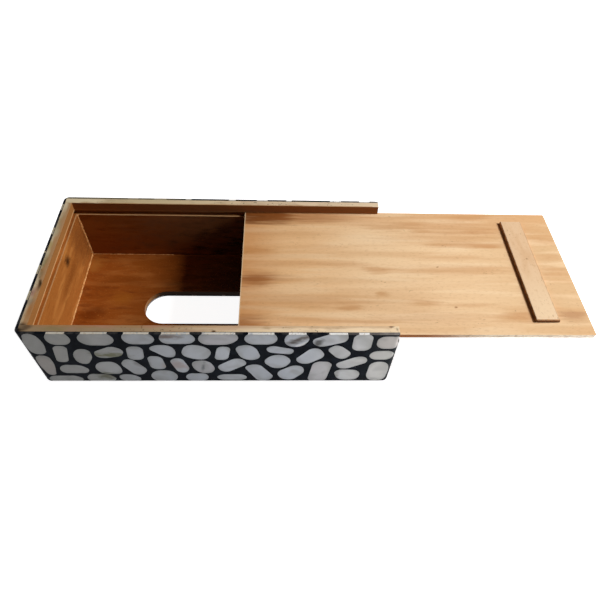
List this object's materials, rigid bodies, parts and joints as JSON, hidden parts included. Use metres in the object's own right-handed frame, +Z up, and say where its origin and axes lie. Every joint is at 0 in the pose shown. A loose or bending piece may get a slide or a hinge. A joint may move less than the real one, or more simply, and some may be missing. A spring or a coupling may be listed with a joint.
{
  "type": "tissue box with sliding base panel",
  "caption": "Wooden tissue box with a pebble mother-of-pearl and black resin inlay, a dispensing slot and a base panel that slides out of its open underside to refill it.",
  "frame": {"origin": "middle of the dispensing slot, in the plane of the slotted face, which the upturned box stands on", "axes": "+X along the panel's travel, outwards over the low end; +Y towards the back board; +Z up, from the slotted face to the rim"},
  "size_m": [0.3861, 0.13, 0.063],
  "materials": {
    "varnished_case_wood": "satin varnish inside, bare sanded rim",
    "panel_wood": "thin satin varnish",
    "black_resin": "polished flush",
    "mother_of_pearl": "polished flush, pearly"
  },
  "bodies": {
    "case": {"slotted_board": "varnished_case_wood", "front_board": "varnished_case_wood", "back_board": "varnished_case_wood", "closed_end_board": "varnished_case_wood", "low_end_board": "varnished_case_wood", "front_resin": "black_resin", "back_resin": "black_resin", "closed_end_resin": "black_resin", "low_end_resin": "black_resin", "slotted_face_resin": "black_resin", "front_pebbles": "mother_of_pearl", "back_pebbles": "mother_of_pearl", "closed_end_pebbles": "mother_of_pearl", "low_end_pebbles": "mother_of_pearl", "slotted_face_pebbles": "mother_of_pearl"},
    "base_panel": {"sliding_panel": "panel_wood", "pull_strip": "panel_wood"}
  },
  "joints": [
    {"name": "panel_slide", "type": "slide", "parent": "case", "child": "base_panel", "axis": [1, 0, 0], "range_m": [-0.1361, 0.1]}
  ]
}
